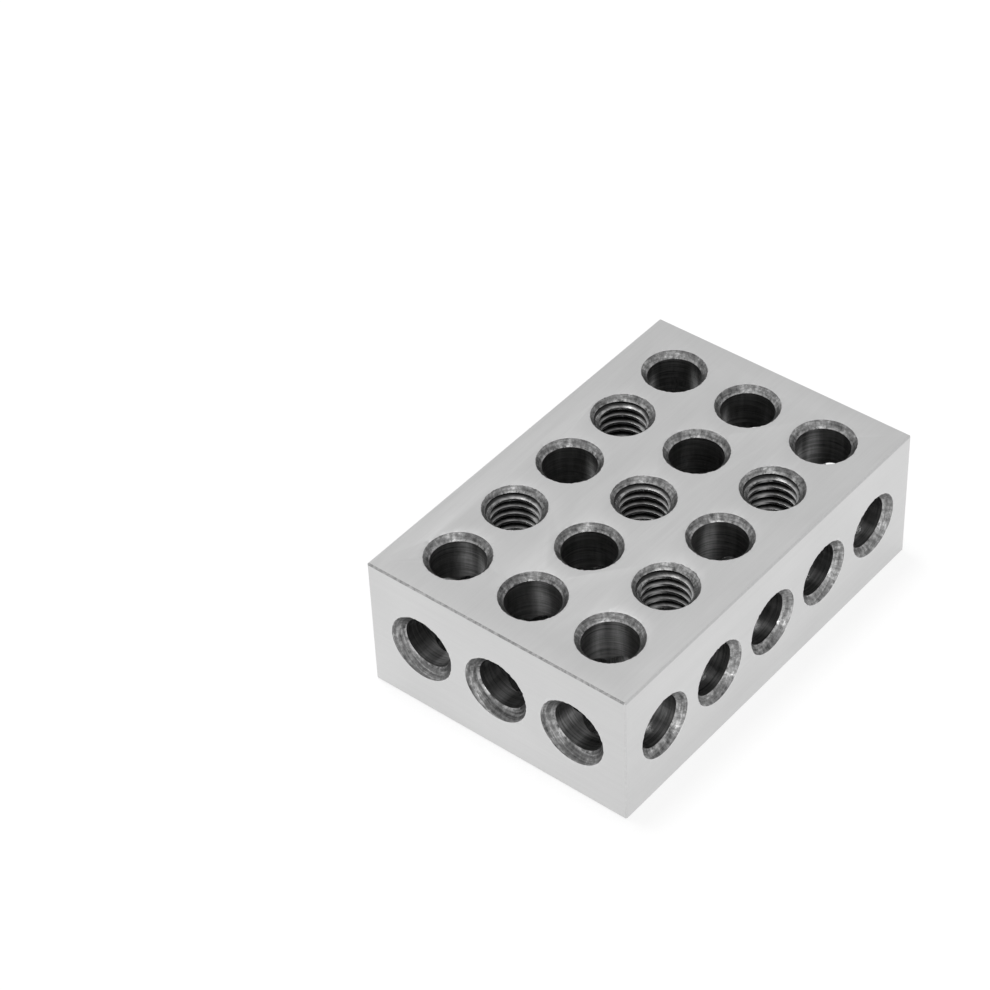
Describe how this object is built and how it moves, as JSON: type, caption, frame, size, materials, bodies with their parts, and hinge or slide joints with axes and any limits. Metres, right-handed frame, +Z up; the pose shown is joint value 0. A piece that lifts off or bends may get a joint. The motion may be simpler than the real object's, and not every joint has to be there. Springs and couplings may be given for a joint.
{
  "type": "machinist setup block",
  "caption": "Ground steel setup block, one by two by three inches, with a grid of plain and tapped through holes on three axes for spacing, stacking and clamping work square.",
  "frame": {"origin": "centre of the bottom face", "axes": "+X along the three inch length, +Y along the two inch width, +Z up through the one inch height"},
  "size_m": [0.0762, 0.0508, 0.0254],
  "materials": {
    "ground_steel": "surface ground, satin; drilled, countersunk and tapped holes left as machined"
  },
  "bodies": {
    "root": {"setup_block": "ground_steel"}
  },
  "joints": []
}
